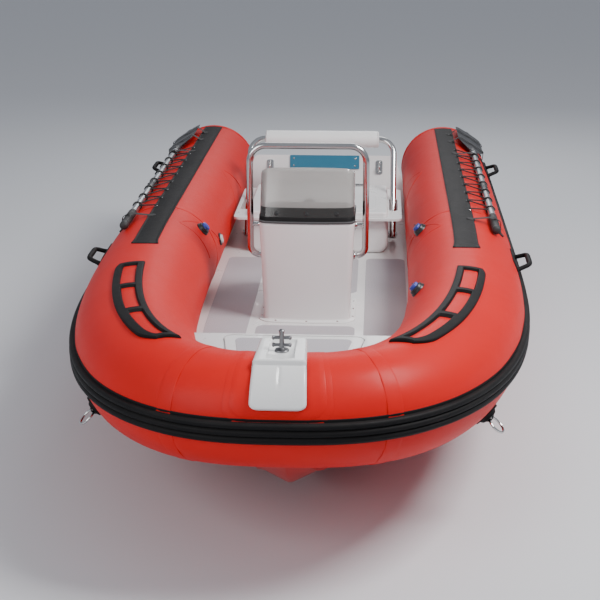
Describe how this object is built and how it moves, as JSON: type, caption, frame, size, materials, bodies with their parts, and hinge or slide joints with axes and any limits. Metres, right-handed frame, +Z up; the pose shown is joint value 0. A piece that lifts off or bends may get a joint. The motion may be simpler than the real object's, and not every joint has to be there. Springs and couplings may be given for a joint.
{
  "type": "rigid inflatable boat with centre console",
  "caption": "Small rigid inflatable boat with deep-vee hull, red air tubes, centre console, seat box with swing-over backrest and lashed paddles.",
  "frame": {"origin": "amidships on the centreline at the height of the still water", "axes": "+Y aft, +X to port, +Z up; the bow points along -Y"},
  "size_m": [1.747, 3.8222, 1.0009],
  "materials": {
    "tube_fabric": "red coated fabric, satin",
    "hull_gelcoat": "red gelcoat, glossy",
    "white_gelcoat": "white gelcoat, glossy",
    "black_rubber": "moulded black rubber, satin",
    "black_plastic": "moulded black plastic",
    "teal_pad": "teal moulded pad, satin",
    "stainless": "polished stainless steel",
    "aluminium": "anodised aluminium tube",
    "smoked_screen": "smoked acrylic sheet",
    "dash_grey": "dark grey grained moulding",
    "white_vinyl": "white marine vinyl",
    "blue_cap": "blue moulded cap",
    "wheel_grip": "black foam grip"
  },
  "bodies": {
    "boat": {"hull": "hull_gelcoat", "deck": "white_gelcoat", "transom": "white_gelcoat", "motor_pad_inner": "teal_pad", "motor_pad_outer": "teal_pad", "bow_tube": "tube_fabric", "port_shoulder_tube": "tube_fabric", "starboard_shoulder_tube": "tube_fabric", "port_side_tube": "tube_fabric", "starboard_side_tube": "tube_fabric", "port_tube_cone": "tube_fabric", "starboard_tube_cone": "tube_fabric", "bow_strake": "black_rubber", "port_strake": "black_rubber", "starboard_strake": "black_rubber", "bow_doubler": "tube_fabric", "bow_step": "white_gelcoat", "bow_cleat": "stainless", "bow_locker": "white_gelcoat", "console": "white_gelcoat", "console_dash": "dash_grey", "windscreen": "smoked_screen", "grab_rail": "stainless", "steering_column": "black_plastic", "seat_box": "white_gelcoat", "backrest_pivots": "stainless", "transom_eyes": "stainless", "port_wear_strip": "black_rubber", "starboard_wear_strip": "black_rubber", "port_arc_handle": "black_rubber", "starboard_arc_handle": "black_rubber", "port_paddle_shaft": "aluminium", "port_paddle_grip": "black_plastic", "port_paddle_blade": "black_plastic", "starboard_paddle_shaft": "aluminium", "starboard_paddle_grip": "black_plastic", "starboard_paddle_blade": "black_plastic", "port_side_handles": "black_rubber", "starboard_side_handles": "black_rubber", "valves": "black_plastic", "valve_caps": "blue_cap", "port_tow_ring": "stainless", "starboard_tow_ring": "stainless"},
    "steering_wheel": {"steering_wheel": "wheel_grip"},
    "seat_lid": {"seat_lid": "white_gelcoat"},
    "bow_locker_lid": {"bow_locker_lid": "white_gelcoat"},
    "backrest": {"backrest_frame": "stainless", "backrest_roll": "white_vinyl"}
  },
  "joints": [
    {"name": "steering_turn", "type": "hinge", "parent": "boat", "child": "steering_wheel", "pos_m": [0, 0.00101, 0.3873], "axis": [0, 0.9135, 0.4067], "range_deg": [-540, 540]},
    {"name": "seat_lid_hinge", "type": "hinge", "parent": "boat", "child": "seat_lid", "pos_m": [0, 1.112, 0.2905], "axis": [-1, 0, 0], "range_deg": [0, 65]},
    {"name": "bow_lid_hinge", "type": "hinge", "parent": "boat", "child": "bow_locker_lid", "pos_m": [0, -1.42, 0.3303], "axis": [1, 0, 0], "range_deg": [0, 95]},
    {"name": "backrest_swing", "type": "hinge", "parent": "boat", "child": "backrest", "pos_m": [0, 0.82, 0.15], "axis": [1, 0, 0], "range_deg": [0, 66]}
  ]
}
